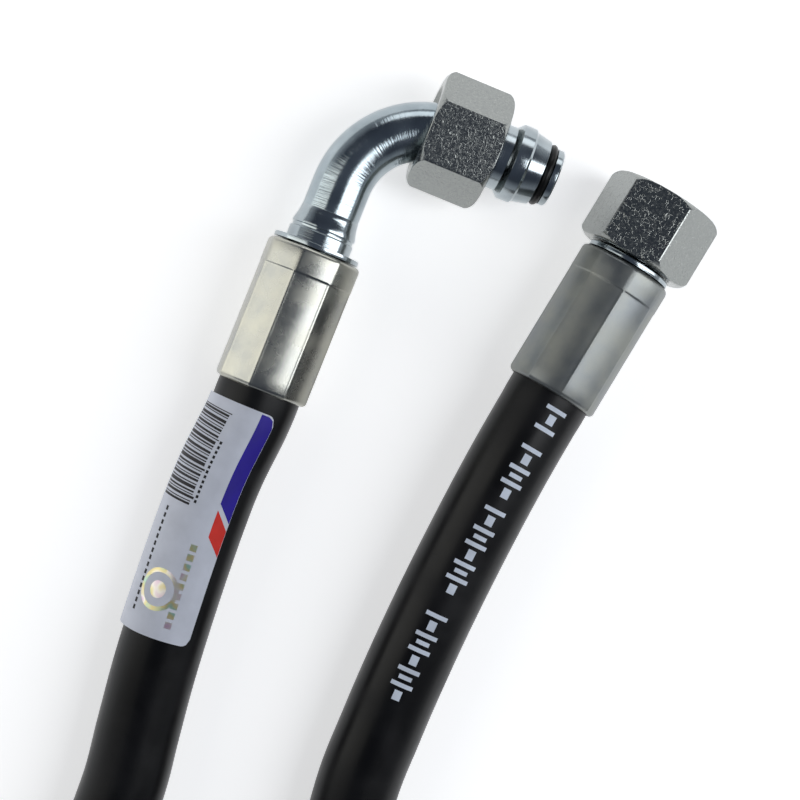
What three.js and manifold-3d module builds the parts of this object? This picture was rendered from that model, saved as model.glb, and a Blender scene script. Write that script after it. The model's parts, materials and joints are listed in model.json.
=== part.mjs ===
// Hydraulic hose assembly: a two-wire hose with a swept 90 degree elbow at one end and a
// straight end at the other, each with a 24 degree cone, an O-ring and a swivel nut.
// Millimetres, +Z up. The elbow's outlet points along +X and the hose leaves it towards -Y.
// The origin is under the middle of the two end fittings, on the surface they lie on.

import * as THREE from "three";
import { mergeVertices } from "three/addons/utils/BufferGeometryUtils.js";
import Module from "manifold-3d";

const wasm = await Module();
wasm.setup();

// ---- driving dimensions ----

const CLEARANCE = 0.3; // between neighbouring metal pieces
const PLY_GAP = 0.1; // between one layer of the hose and the next
const FLOOR_GAP = 0.05; // under the lowest corner of a nut

// Hose: its bore, the walls of its layers outwards, and the length inside each ferrule.
const HOSE_BORE_RADIUS = 6.35;
const INNER_TUBE_WALL = 1.6;
const INNER_BRAID_WALL = 0.4;
const INTERPLY_WALL = 0.25;
const OUTER_BRAID_WALL = 0.5;
const COVER_WALL = 1.2;
const HOSE_SIDES = 8;
const HOSE_STATIONS = 26;
const HOSE_INSERTION = 29;

// Stem tail: the barbed nipple inside the hose, with the lock that the ferrule is crimped into.
const TAIL_START = 4; // from the ferrule's mouth
const TAIL_FIT = 0.45; // between the barbs and the hose's bore
const BARB_HEIGHT = 0.45;
const TAIL_BARBS = 3;
const BARB_PITCH = 7;
const TAIL_WALL = 1.15;
const LOCK_COLLAR_FIT = 1.2; // between the lock's collar and the ferrule's wall
const LOCK_COLLAR_LENGTH = 2;
const LOCK_DEPTH = 1.8;
const DISC_SET_BACK = 1.2; // from the ferrule's corners
const DISC_THICKNESS = 1.2;

// Ferrule: an eight-sided crimp over a turned shell.
const FERRULE_LENGTH = 37.5;
const FERRULE_TOP_LENGTH = 6.9;
const FERRULE_LIP_LENGTH = 3;
const FERRULE_WALL = 0.69; // under a crimped flat
const FERRULE_CORNER_HEIGHT = 0.81; // of the rounded corners over the crimped flats
const TOP_FLAT_HEIGHT = 0.26; // of the top's flats over the crimped flats
const FERRULE_END_ROUND = 1.2;

// Elbow: tube bend and the lengths from the corner where its two centre lines meet.
const TUBE_RADIUS = 7.5;
const TUBE_WALL = 2;
const BEND_RADIUS = 22;
const BEND_STEPS = 8;
const CORNER_TO_MOUTH = 77.5; // of the ferrule
const CORNER_TO_CONE = 36; // to the rear of the collar
const ELBOW_NECK_LENGTH = 7; // behind the collar
const SOCKET_WALL = 0.6;
const SOCKET_DEPTH = 3.5;
const BELL_LENGTH = 4.5;
const BELL_TAPER_LENGTH = 3;

// Cone end, measured from the rear of its collar.
const COLLAR_RADIUS = 10;
const COLLAR_LENGTH = 5.2;
const COLLAR_CHAMFER = 1.4;
const CONE_RADIUS = 9.35;
const CONE_LENGTH = 4;
const CONE_HALF_ANGLE = THREE.MathUtils.degToRad(12);
const GROOVE_LENGTH = 2.4;
const GROOVE_RADIUS = 6;
const TIP_LENGTH = 1.8;
const TIP_RADIUS = 7.45;
const TIP_CHAMFER = 0.4;
const CONE_BORE_RADIUS = 5;
const O_RING_SECTION = 1; // radius of the rubber itself
const O_RING_FIT = 0.1; // around the ring in its groove

// Swivel nut: hexagon, thread and the shoulder that pulls on the collar.
const NUT_FLATS = 27;
const NUT_LENGTH = 18.7;
const NUT_CHAMFER_LENGTH = 3;
const NUT_FACE_RADIUS = 12.6;
const NUT_THREAD_RADIUS = 10.4;
const NUT_MOUTH_CHAMFER = 1.1;
const NUT_SHOULDER_LENGTH = 3.8;
const NUT_REAR_CHAMFER = 1.8;
const NUT_PLAY = 0.6; // between its rear bore and a neck

// Neck behind the collar, on both ends, and its length on the straight stem.
const NECK_WALL = 0.65; // over the elbow's tube
const NECK_LENGTH = 6.3;
const STRAIGHT_NUT_REAR = 0.5; // from the disc

// How each end lies: rolls about the piece's own centre line, and the straight end's place.
const ELBOW_FERRULE_ROLL = THREE.MathUtils.degToRad(28);
const ELBOW_NUT_ROLL = THREE.MathUtils.degToRad(6.6);
const STRAIGHT_FERRULE_ROLL = THREE.MathUtils.degToRad(2.5);
const STRAIGHT_NUT_ROLL = THREE.MathUtils.degToRad(-15.5);
const STRAIGHT_YAW = THREE.MathUtils.degToRad(-9.5);
const ELBOW_MOUTH = { x: 0, y: -77.5 };
const STRAIGHT_MOUTH = { x: 68.8, y: -50.8 };

// Label: a printed film wrapped part of the way round the hose.
const LABEL_START = 34; // along the hose from its end in the elbow's ferrule
const LABEL_LENGTH = 62;
const LABEL_THICKNESS = 0.2;
const LABEL_GAP = 0.15;
const LABEL_FROM = THREE.MathUtils.degToRad(-33);
const LABEL_TO = THREE.MathUtils.degToRad(112);
const LABEL_STEPS = 8;

const TURNED_SIDES = 24;
const BLANK_SIDES = 36; // of the rounded outside of a nut or ferrule
const TUBE_SIDES = 16;

// Where the hose lies between its two ferrules: x, y and the height under it.
const HOSE_POINTS = [
  [0, -84.5, 3.5], [-1.2, -100, 2.8], [-0.9, -117, 1.9], [1.4, -151, 0.5],
  [3.4, -168, 0.2], [5.4, -185, 0.2], [3.8, -220.5, 0.2], [-10, -253, 0.2],
  [-30.5, -282, 0.2], [-41, -316, 0.2], [-38, -351.5, 0.2], [-22, -383, 0.2],
  [4.5, -407, 0.2], [37.5, -419.5, 0.2], [72.5, -419, 0.2], [105.5, -405.5, 0.2],
  [131, -381, 0.2], [146, -348.5, 0.2], [148, -313, 0.2], [136.5, -279.5, 0.2],
  [114, -252.5, 0.2], [86.5, -229.5, 0.2], [68, -199.5, 0.2], [61.2, -164.7, 0.2],
  [60.9, -145.7, 0.7], [61.3, -126.8, 1.8], [62.3, -108, 2.8], [63.8, -89.5, 3.8],
  [65.8, -71, 4.4],
];

// ---- sizes that follow from the others ----

const SOCKET_RADIUS = TUBE_RADIUS + CLEARANCE + 0.05;
const INNER_TUBE_RADIUS = HOSE_BORE_RADIUS + INNER_TUBE_WALL;
const INNER_BRAID_RADIUS = INNER_TUBE_RADIUS + PLY_GAP + INNER_BRAID_WALL;
const INTERPLY_RADIUS = INNER_BRAID_RADIUS + PLY_GAP + INTERPLY_WALL;
const OUTER_BRAID_RADIUS = INTERPLY_RADIUS + PLY_GAP + OUTER_BRAID_WALL;
const HOSE_RADIUS = OUTER_BRAID_RADIUS + PLY_GAP + COVER_WALL;
const TAIL_BARB_RADIUS = HOSE_BORE_RADIUS - TAIL_FIT;
const TAIL_ROOT_RADIUS = TAIL_BARB_RADIUS - BARB_HEIGHT;
const FLOW_RADIUS = TAIL_ROOT_RADIUS - TAIL_WALL;
const NECK_RADIUS = SOCKET_RADIUS + NECK_WALL;
const LOCK_COLLAR_RADIUS = HOSE_RADIUS - LOCK_COLLAR_FIT;
const LOCK_GROOVE_RADIUS = LOCK_COLLAR_RADIUS - LOCK_DEPTH;
const CRIMP_FLAT_RADIUS = HOSE_RADIUS + CLEARANCE + FERRULE_WALL;
const TOP_FLAT_RADIUS = CRIMP_FLAT_RADIUS + TOP_FLAT_HEIGHT;
const FERRULE_CORNER_RADIUS = CRIMP_FLAT_RADIUS + FERRULE_CORNER_HEIGHT;
const DISC_RADIUS = FERRULE_CORNER_RADIUS - DISC_SET_BACK;
const ELBOW_CORNER = { x: ELBOW_MOUTH.x, y: ELBOW_MOUTH.y + CORNER_TO_MOUTH };
const CORNER_RADIUS_OF_NUT = NUT_FLATS / 2 / Math.cos(Math.PI / 6);
const NUT_REAR_BORE = NECK_RADIUS + NUT_PLAY;
const ELBOW_NUT_REAR = nutRearOnBend();
const FERRULE_BORE = (HOSE_RADIUS + CLEARANCE - 0.05) / Math.cos(Math.PI / TURNED_SIDES);
const DISC_START = FERRULE_LENGTH + CLEARANCE;
const DISC_END = DISC_START + DISC_THICKNESS;
const LIP_START = FERRULE_LENGTH - FERRULE_LIP_LENGTH;
const CONE_END_RADIUS = CONE_RADIUS - CONE_LENGTH * Math.tan(CONE_HALF_ANGLE);
const GROOVE_START = COLLAR_LENGTH + CONE_LENGTH;
const TIP_START = GROOVE_START + GROOVE_LENGTH;
const CONE_END_LENGTH = TIP_START + TIP_LENGTH;
const O_RING_RADIUS = GROOVE_RADIUS + O_RING_FIT + O_RING_SECTION;

// Height of a nut's centre line when the nut lies on the surface, rolled by this much.
function restingHeight(roll) {
  const side = Math.PI / 3;
  const fromFlat = Math.abs(roll - side * Math.round(roll / side));
  return CORNER_RADIUS_OF_NUT * Math.cos(side / 2 - fromFlat) + FLOOR_GAP;
}

// How far from the elbow's corner a nut stops when its rear bore meets the inside of the bend.
function nutRearOnBend() {
  const insideRadius = BEND_RADIUS - TUBE_RADIUS;
  const room = NUT_REAR_BORE - TUBE_RADIUS - CLEARANCE;
  return BEND_RADIUS - Math.sqrt(insideRadius ** 2 - (insideRadius - room) ** 2) - NUT_REAR_CHAMFER;
}

const ELBOW_HEIGHT = restingHeight(ELBOW_NUT_ROLL);
const STRAIGHT_HEIGHT = restingHeight(STRAIGHT_NUT_ROLL);

// ---- materials ----

const material = (color, roughness, metalness) =>
  new THREE.MeshStandardMaterial({ color, roughness, metalness });

const ZINC_FERRULE = material(0xa6a498, 0.42, 1);
const ZINC_NUT = material(0x9a9a94, 0.34, 1);
const ZINC_TUBE = material(0xaeb6bd, 0.26, 1);
const COVER_RUBBER = material(0x121214, 0.45, 0);
const TUBE_RUBBER = material(0x0c0c0c, 0.7, 0);
const PLY_RUBBER = material(0x1c1a18, 0.8, 0);
const BRAID_WIRE = material(0x8c8470, 0.4, 1);
const SEAL_RUBBER = material(0x0a0a0a, 0.5, 0);
const LABEL_FILM = material(0xb4b8c4, 0.5, 0);

// ---- solids ----

// A closed solid of a three.js geometry, with its shared vertices merged.
function solidOf(geometry) {
  geometry.deleteAttribute("normal");
  geometry.deleteAttribute("uv");
  const merged = mergeVertices(geometry, 1e-4);
  const corners = merged.index.array;
  const triangles = [];
  for (let i = 0; i < corners.length; i += 3) {
    const [a, b, c] = [corners[i], corners[i + 1], corners[i + 2]];
    if (a !== b && b !== c && c !== a) triangles.push(a, b, c);
  }
  return new wasm.Manifold(new wasm.Mesh({
    numProp: 3,
    vertProperties: merged.attributes.position.array,
    triVerts: new Uint32Array(triangles),
  }));
}

function geometryOf(solid) {
  const mesh = solid.getMesh();
  const geometry = new THREE.BufferGeometry();
  geometry.setAttribute("position", new THREE.BufferAttribute(mesh.vertProperties, 3));
  geometry.setIndex(new THREE.BufferAttribute(mesh.triVerts, 1));
  geometry.computeVertexNormals();
  return geometry;
}

// A solid turned about +Y. The profile is a list of [radius, height], counter-clockwise
// with the axis on its left, and closes on itself or starts and ends on the axis.
function turned(profile, sides = TURNED_SIDES) {
  const points = profile.map(([radius, height]) => new THREE.Vector2(radius, height));
  if (profile[0][0] > 0) points.push(points[0].clone());
  return solidOf(new THREE.LatheGeometry(points, sides));
}

// A prism about +Y from height 0. flatRadius is the distance to its flats.
function prism(sides, flatRadius, height, roll) {
  const corner = flatRadius / Math.cos(Math.PI / sides);
  const geometry = new THREE.CylinderGeometry(corner, corner, height, sides);
  return solidOf(geometry.rotateY(roll).translate(0, height / 2, 0));
}

// A path whose cross-sections stand at chosen stations. A section's x is up, along +Z, and
// its y points to the right of the way the path runs.
class StationPath extends THREE.Curve {
  constructor(points, tangents) {
    super();
    this.points = points;
    this.tangents = tangents;
  }

  getSpacedPoints() {
    return this.points;
  }

  computeFrenetFrames() {
    const up = new THREE.Vector3(0, 0, 1);
    const binormals = this.tangents.map((t) => new THREE.Vector3().crossVectors(t, up).normalize());
    const normals = binormals.map((b, i) => new THREE.Vector3().crossVectors(b, this.tangents[i]));
    return { tangents: this.tangents, normals, binormals };
  }
}

function swept(shape, path) {
  const options = { steps: path.points.length - 1, extrudePath: path, bevelEnabled: false };
  return solidOf(new THREE.ExtrudeGeometry(shape, options));
}

function ring(sides, radius) {
  return Array.from({ length: sides }, (_, i) => {
    const angle = (2 * Math.PI * i) / sides;
    return new THREE.Vector2(radius * Math.cos(angle), radius * Math.sin(angle));
  });
}

function tubeSection(sides, outerRadius, innerRadius) {
  const shape = new THREE.Shape(ring(sides, outerRadius));
  shape.holes.push(new THREE.Path(ring(sides, innerRadius)));
  return shape;
}

function addPart(group, name, solid, look) {
  const mesh = new THREE.Mesh(geometryOf(solid), look);
  mesh.name = name;
  group.add(mesh);
  return mesh;
}

// ---- pieces ----

// The outside of a stem from its barbed end to the top of its disc, upwards.
function tailOutline() {
  const outline = [[FLOW_RADIUS, TAIL_START], [TAIL_ROOT_RADIUS - 0.3, TAIL_START]];
  for (let i = 0; i < TAIL_BARBS; i += 1) {
    const foot = TAIL_START + 1 + i * BARB_PITCH;
    outline.push([TAIL_ROOT_RADIUS, foot], [TAIL_BARB_RADIUS, foot + BARB_PITCH - 1]);
  }
  const lockTop = LIP_START - CLEARANCE;
  const lockBottom = lockTop - LOCK_COLLAR_LENGTH;
  outline.push(
    [TAIL_ROOT_RADIUS, TAIL_START + 1 + TAIL_BARBS * BARB_PITCH],
    [TAIL_ROOT_RADIUS, lockBottom], [LOCK_COLLAR_RADIUS, lockBottom],
    [LOCK_COLLAR_RADIUS, lockTop], [LOCK_GROOVE_RADIUS, lockTop],
    [LOCK_GROOVE_RADIUS, DISC_START], [DISC_RADIUS, DISC_START], [DISC_RADIUS, DISC_END],
  );
  return outline;
}

// The outside of a cone end whose collar's rear face is at this height, upwards.
function coneOutline(rear) {
  return [
    [COLLAR_RADIUS - COLLAR_CHAMFER, rear], [COLLAR_RADIUS, rear + COLLAR_CHAMFER],
    [COLLAR_RADIUS, rear + COLLAR_LENGTH - 0.6], [CONE_RADIUS, rear + COLLAR_LENGTH],
    [CONE_END_RADIUS, rear + GROOVE_START], [GROOVE_RADIUS, rear + GROOVE_START],
    [GROOVE_RADIUS, rear + TIP_START], [TIP_RADIUS, rear + TIP_START],
    [TIP_RADIUS, rear + CONE_END_LENGTH - TIP_CHAMFER],
    [TIP_RADIUS - TIP_CHAMFER, rear + CONE_END_LENGTH], [CONE_BORE_RADIUS, rear + CONE_END_LENGTH],
  ];
}

function elbowInsert() {
  const bellRadius = SOCKET_RADIUS + SOCKET_WALL;
  const bellTop = DISC_END + BELL_LENGTH;
  const lipTop = bellTop + BELL_TAPER_LENGTH;
  const socketFloor = bellTop - SOCKET_DEPTH;
  return turned([
    ...tailOutline(),
    [bellRadius, DISC_END], [bellRadius, bellTop], [SOCKET_RADIUS + CLEARANCE, lipTop],
    [SOCKET_RADIUS, lipTop], [SOCKET_RADIUS, socketFloor], [FLOW_RADIUS, socketFloor],
  ]);
}

function elbowCone() {
  const neckRear = -ELBOW_NECK_LENGTH;
  const socketFloor = neckRear + SOCKET_DEPTH;
  return turned([
    [SOCKET_RADIUS, neckRear], [NECK_RADIUS - 0.3, neckRear], [NECK_RADIUS, neckRear + 0.3],
    [NECK_RADIUS, 0], ...coneOutline(0),
    [CONE_BORE_RADIUS, socketFloor], [SOCKET_RADIUS, socketFloor],
  ]);
}

function straightStem() {
  const rear = DISC_END + NECK_LENGTH;
  return turned([
    ...tailOutline(),
    [NECK_RADIUS, DISC_END], [NECK_RADIUS, rear], ...coneOutline(rear),
    [CONE_BORE_RADIUS, rear + CONE_END_LENGTH / 2], [FLOW_RADIUS, rear],
  ]);
}

// The elbow's tube, from its socket in the insert to its socket in the cone.
function elbowTube() {
  const straightFrom = DISC_END + BELL_LENGTH - SOCKET_DEPTH + CLEARANCE - CORNER_TO_MOUTH;
  const straightTo = CORNER_TO_CONE - ELBOW_NECK_LENGTH + SOCKET_DEPTH - CLEARANCE;
  const points = [new THREE.Vector3(0, straightFrom, 0)];
  const tangents = [new THREE.Vector3(0, 1, 0)];
  for (let i = 0; i <= BEND_STEPS; i += 1) {
    const angle = (i / BEND_STEPS) * (Math.PI / 2);
    points.push(new THREE.Vector3(
      BEND_RADIUS * (1 - Math.cos(angle)), BEND_RADIUS * (Math.sin(angle) - 1), 0,
    ));
    tangents.push(new THREE.Vector3(Math.sin(angle), Math.cos(angle), 0));
  }
  points.push(new THREE.Vector3(straightTo, 0, 0));
  tangents.push(new THREE.Vector3(1, 0, 0));
  const section = tubeSection(TUBE_SIDES, TUBE_RADIUS, TUBE_RADIUS - TUBE_WALL);
  return swept(section, new StationPath(points, tangents));
}

function ferrule(roll) {
  const r = FERRULE_END_ROUND;
  const blank = turned([
    [0, 0], [FERRULE_CORNER_RADIUS - r, 0], [FERRULE_CORNER_RADIUS - 0.3 * r, 0.3 * r],
    [FERRULE_CORNER_RADIUS, r], [FERRULE_CORNER_RADIUS, FERRULE_LENGTH - r],
    [FERRULE_CORNER_RADIUS - 0.3 * r, FERRULE_LENGTH - 0.3 * r],
    [FERRULE_CORNER_RADIUS - r, FERRULE_LENGTH], [0, FERRULE_LENGTH],
  ], BLANK_SIDES);
  const crimp = prism(8, CRIMP_FLAT_RADIUS, FERRULE_LENGTH - FERRULE_TOP_LENGTH, roll);
  const top = prism(8, TOP_FLAT_RADIUS, FERRULE_TOP_LENGTH, roll)
    .translate([0, FERRULE_LENGTH - FERRULE_TOP_LENGTH, 0]);
  const bore = turned([
    [0, -1], [FERRULE_BORE + 0.4, -1], [FERRULE_BORE + 0.4, 0.6], [FERRULE_BORE, 1],
    [FERRULE_BORE, LIP_START], [LOCK_GROOVE_RADIUS + CLEARANCE, LIP_START],
    [LOCK_GROOVE_RADIUS + CLEARANCE, FERRULE_LENGTH + 1], [0, FERRULE_LENGTH + 1],
  ]);
  return blank.intersect(crimp.add(top)).subtract(bore);
}

// A nut standing on its rear face, which is at height 0.
function nut(roll) {
  const c = NUT_CHAMFER_LENGTH;
  const flatTo = CORNER_RADIUS_OF_NUT + 0.1;
  const step = (flatTo - NUT_FACE_RADIUS) / 3;
  const barrel = turned([
    [0, 0], [NUT_FACE_RADIUS, 0], [NUT_FACE_RADIUS + 1.4 * step, c / 5],
    [NUT_FACE_RADIUS + 2.4 * step, c / 2], [flatTo, c], [flatTo, NUT_LENGTH - c],
    [NUT_FACE_RADIUS + 2.4 * step, NUT_LENGTH - c / 2],
    [NUT_FACE_RADIUS + 1.4 * step, NUT_LENGTH - c / 5],
    [NUT_FACE_RADIUS, NUT_LENGTH], [0, NUT_LENGTH],
  ], BLANK_SIDES);
  const seat = NUT_THREAD_RADIUS - NUT_REAR_BORE;
  const bore = turned([
    [0, -1], [NUT_REAR_BORE + NUT_REAR_CHAMFER, -1], [NUT_REAR_BORE + NUT_REAR_CHAMFER, 0],
    [NUT_REAR_BORE, NUT_REAR_CHAMFER], [NUT_REAR_BORE, NUT_SHOULDER_LENGTH],
    [NUT_THREAD_RADIUS, NUT_SHOULDER_LENGTH + seat],
    [NUT_THREAD_RADIUS, NUT_LENGTH - NUT_MOUTH_CHAMFER],
    [NUT_THREAD_RADIUS + NUT_MOUTH_CHAMFER, NUT_LENGTH],
    [NUT_THREAD_RADIUS + NUT_MOUTH_CHAMFER, NUT_LENGTH + 1], [0, NUT_LENGTH + 1],
  ]);
  const flats = prism(6, NUT_FLATS / 2, NUT_LENGTH, roll + Math.PI / 6);
  return barrel.intersect(flats).subtract(bore);
}

function oRing() {
  const geometry = new THREE.TorusGeometry(O_RING_RADIUS, O_RING_SECTION, 8, TURNED_SIDES);
  return solidOf(geometry.rotateX(Math.PI / 2));
}

// ---- the two ends ----

// A group whose +Y runs along a centre line in the surface's plane, turned by yaw about +Z.
function placed(x, y, z, yaw) {
  const group = new THREE.Group();
  group.position.set(x, y, z);
  group.rotation.z = yaw;
  return group;
}

function elbowEnd() {
  const { x, y } = ELBOW_CORNER;
  const leg = placed(ELBOW_MOUTH.x, ELBOW_MOUTH.y, ELBOW_HEIGHT, 0);
  addPart(leg, "elbow_insert", elbowInsert(), ZINC_TUBE);
  addPart(leg, "elbow_ferrule", ferrule(ELBOW_FERRULE_ROLL), ZINC_FERRULE);
  const bend = placed(x, y, ELBOW_HEIGHT, 0);
  addPart(bend, "elbow_tube", elbowTube(), ZINC_TUBE);
  const outlet = placed(x, y, ELBOW_HEIGHT, -Math.PI / 2);
  addPart(outlet, "elbow_cone", elbowCone(), ZINC_TUBE).position.y = CORNER_TO_CONE;
  addPart(outlet, "elbow_o_ring", oRing(), SEAL_RUBBER).position.y =
    CORNER_TO_CONE + GROOVE_START + GROOVE_LENGTH / 2;
  addPart(outlet, "elbow_nut", nut(ELBOW_NUT_ROLL), ZINC_NUT).position.y = ELBOW_NUT_REAR;
  return [leg, bend, outlet];
}

function straightEnd() {
  const { x, y } = STRAIGHT_MOUTH;
  const end = placed(x, y, STRAIGHT_HEIGHT, STRAIGHT_YAW);
  const collarRear = DISC_END + NECK_LENGTH;
  addPart(end, "straight_stem", straightStem(), ZINC_TUBE);
  addPart(end, "straight_ferrule", ferrule(STRAIGHT_FERRULE_ROLL), ZINC_FERRULE);
  addPart(end, "straight_o_ring", oRing(), SEAL_RUBBER).position.y =
    collarRear + GROOVE_START + GROOVE_LENGTH / 2;
  addPart(end, "straight_nut", nut(STRAIGHT_NUT_ROLL), ZINC_NUT).position.y =
    DISC_END + STRAIGHT_NUT_REAR;
  return [end];
}

// ---- the hose ----

// The hose's centre line: straight inside each ferrule, and through its points between them.
function hoseRoute() {
  const straightAxis = new THREE.Vector3(-Math.sin(STRAIGHT_YAW), Math.cos(STRAIGHT_YAW), 0);
  const elbowAxis = new THREE.Vector3(0, 1, 0);
  const elbowMouth = new THREE.Vector3(ELBOW_MOUTH.x, ELBOW_MOUTH.y, ELBOW_HEIGHT);
  const straightMouth = new THREE.Vector3(STRAIGHT_MOUTH.x, STRAIGHT_MOUTH.y, STRAIGHT_HEIGHT);
  const inside = (mouth, axis, depth) => mouth.clone().addScaledVector(axis, depth);
  return new THREE.CatmullRomCurve3([
    inside(elbowMouth, elbowAxis, HOSE_INSERTION),
    inside(elbowMouth, elbowAxis, HOSE_INSERTION / 2),
    elbowMouth,
    ...HOSE_POINTS.map(([x, y, under]) => new THREE.Vector3(x, y, under + HOSE_RADIUS)),
    straightMouth,
    inside(straightMouth, straightAxis, HOSE_INSERTION / 2),
    inside(straightMouth, straightAxis, HOSE_INSERTION),
  ], false, "centripetal");
}

const ROUTE = hoseRoute();
ROUTE.arcLengthDivisions = 2000;
const HOSE_LENGTH = ROUTE.getLength();


function spread(from, to, count) {
  return Array.from({ length: count + 1 }, (_, i) => from + ((to - from) * i) / count);
}

// Where the hose's cross-sections stand, as distances along it.
const STATIONS = [
  0, ...spread(HOSE_INSERTION, HOSE_LENGTH - HOSE_INSERTION, HOSE_STATIONS), HOSE_LENGTH,
];

// The faceted hose's own centre and direction at a distance along it.
function stationAt(distance) {
  const next = Math.max(1, STATIONS.findIndex((station) => station >= distance));
  const [from, to] = [STATIONS[next - 1], STATIONS[next]];
  const share = (distance - from) / (to - from);
  const start = from / HOSE_LENGTH;
  const end = to / HOSE_LENGTH;
  return {
    point: ROUTE.getPointAt(start).lerp(ROUTE.getPointAt(end), share),
    tangent: ROUTE.getTangentAt(start).lerp(ROUTE.getTangentAt(end), share).normalize(),
  };
}

function hosePath(distances) {
  const stations = distances.map(stationAt);
  return new StationPath(stations.map((s) => s.point), stations.map((s) => s.tangent));
}

function hoseLayers() {
  const path = hosePath(STATIONS);
  const boreRadius = HOSE_BORE_RADIUS / Math.cos(Math.PI / HOSE_SIDES);
  const layers = [
    ["hose_inner_tube", INNER_TUBE_RADIUS, boreRadius, TUBE_RUBBER],
    ["hose_inner_braid", INNER_BRAID_RADIUS, INNER_TUBE_RADIUS + PLY_GAP, BRAID_WIRE],
    ["hose_interply", INTERPLY_RADIUS, INNER_BRAID_RADIUS + PLY_GAP, PLY_RUBBER],
    ["hose_outer_braid", OUTER_BRAID_RADIUS, INTERPLY_RADIUS + PLY_GAP, BRAID_WIRE],
    ["hose_cover", HOSE_RADIUS, OUTER_BRAID_RADIUS + PLY_GAP, COVER_RUBBER],
  ];
  const group = new THREE.Group();
  for (const [name, outer, inner, look] of layers) {
    addPart(group, name, swept(tubeSection(HOSE_SIDES, outer, inner), path), look);
  }
  return group;
}

function hoseLabel() {
  const inner = HOSE_RADIUS + LABEL_GAP;
  const outer = inner + LABEL_THICKNESS;
  const polar = (radius, angle) =>
    new THREE.Vector2(radius * Math.cos(angle), radius * Math.sin(angle));
  const angles = spread(LABEL_FROM, LABEL_TO, LABEL_STEPS);
  const outline = [
    ...angles.map((angle) => polar(outer, angle)),
    ...angles.reverse().map((angle) => polar(inner, angle)),
  ];
  const end = LABEL_START + LABEL_LENGTH;
  const between = STATIONS.filter((station) => station > LABEL_START && station < end);
  const path = hosePath([LABEL_START, ...between, end]);
  const group = new THREE.Group();
  addPart(group, "hose_label", swept(new THREE.Shape(outline), path), LABEL_FILM);
  return group;
}

// ---- the assembly ----

const fittings = new THREE.Group();
fittings.add(...elbowEnd(), ...straightEnd());
const box = new THREE.Box3().setFromObject(fittings, true);
const middle = box.getCenter(new THREE.Vector3());

const assembly = new THREE.Group();
assembly.position.set(-middle.x, -middle.y, -box.min.z);
assembly.add(fittings, hoseLayers(), hoseLabel());

const part = new THREE.Group();
part.add(assembly);

export default part;
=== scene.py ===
"""Looks of a hydraulic hose assembly: rubber hose, zinc-plated fittings, nuts, seals and label.

Every object is in metres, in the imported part's own frame. Lengths below are in millimetres
and pass through MM.
"""

import json
import math

import bpy
from mathutils import Matrix, Vector, noise


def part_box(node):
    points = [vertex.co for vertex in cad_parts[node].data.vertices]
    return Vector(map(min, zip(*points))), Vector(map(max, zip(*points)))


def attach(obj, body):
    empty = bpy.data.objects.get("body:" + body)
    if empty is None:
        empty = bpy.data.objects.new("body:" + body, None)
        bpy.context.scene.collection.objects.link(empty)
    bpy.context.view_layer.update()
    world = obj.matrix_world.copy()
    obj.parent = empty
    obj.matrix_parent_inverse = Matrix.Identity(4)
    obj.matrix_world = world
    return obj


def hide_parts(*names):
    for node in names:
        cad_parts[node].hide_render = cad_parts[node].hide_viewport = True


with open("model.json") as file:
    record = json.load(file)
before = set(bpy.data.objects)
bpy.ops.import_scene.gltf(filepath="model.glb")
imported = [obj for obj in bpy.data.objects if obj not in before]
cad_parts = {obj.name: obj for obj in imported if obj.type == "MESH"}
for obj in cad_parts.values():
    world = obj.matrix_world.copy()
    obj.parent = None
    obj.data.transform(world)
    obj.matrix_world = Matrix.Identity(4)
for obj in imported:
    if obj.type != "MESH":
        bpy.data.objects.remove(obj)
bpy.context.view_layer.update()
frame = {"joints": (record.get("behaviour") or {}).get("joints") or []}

bl_info = {
    "name": "Hydraulic hose assembly",
    "version": (1, 0, 0),
    "blender": (4, 5, 0),
    "location": "View3D > Sidebar > Hose",
    "description": "Builds the hose, its fittings, nuts, seals and label around the packed frame",
    "category": "Add Mesh",
}

MM = 0.001
UP = Vector((0, 0, 1))
ROOT = "assembly"

# ---- places that come from the frame ----

JOINTS = {joint["name"]: joint for joint in frame["joints"]}
OUTLET = Vector(JOINTS["elbow_nut_slide"]["axis"])
STRAIGHT = Vector(JOINTS["straight_nut_spin"]["axis"])
SPIN_POINT = Vector(JOINTS["straight_nut_spin"]["pos_m"])


def middle(node):
    """The middle of a node's box."""
    low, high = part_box(node)
    return (low + high) / 2


CORNER = Vector((middle("elbow_insert").x, middle("elbow_cone").y, middle("elbow_cone").z))
ELBOW_MOUTH = Vector((CORNER.x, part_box("elbow_ferrule")[0].y, CORNER.z))
SPIN_POINT_TO_MOUTH = 50 * MM
STRAIGHT_MOUTH = SPIN_POINT - STRAIGHT * SPIN_POINT_TO_MOUTH

# ---- sizes shared with the solids of the frame ----

HOSE_RADIUS = 10.7
HOSE_INSERTION = 29.0
FERRULE_LENGTH = 37.5
FERRULE_RADIUS = 12.5  # as turned
CRIMPED_RADIUS = 12.44  # at the corners between the flats
FERRULE_BORE = 11.0
FERRULE_TOP = 6.9  # the end that the dies press less
DISC_START = FERRULE_LENGTH + 0.3
DISC_END = DISC_START + 1.2
NECK_LENGTH = 6.3
NECK_RADIUS = 8.5
STEM_BORE = 4.3
TUBE_RADIUS = 7.5
TUBE_WALL = 2.0
BEND_RADIUS = 22.0
CONE_SOCKET_RADIUS = 7.56
CONE_SOCKET_LENGTH = 7
NUT_FLATS = 27.0
NUT_LENGTH = 18.7
NUT_TO_DISC = 0.5
CONE_TO_TIP = 13.4
ELBOW_NUT_ROLL = math.radians(6.6)
STRAIGHT_NUT_ROLL = math.radians(-15.5)
ELBOW_FERRULE_ROLL = math.radians(28)
STRAIGHT_FERRULE_ROLL = math.radians(2.5)
CONE_REAR = (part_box("elbow_cone")[1].x - CORNER.x) / MM - CONE_TO_TIP
ELBOW_NUT_REAR = (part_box("elbow_nut")[0].x - CORNER.x) / MM
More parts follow.
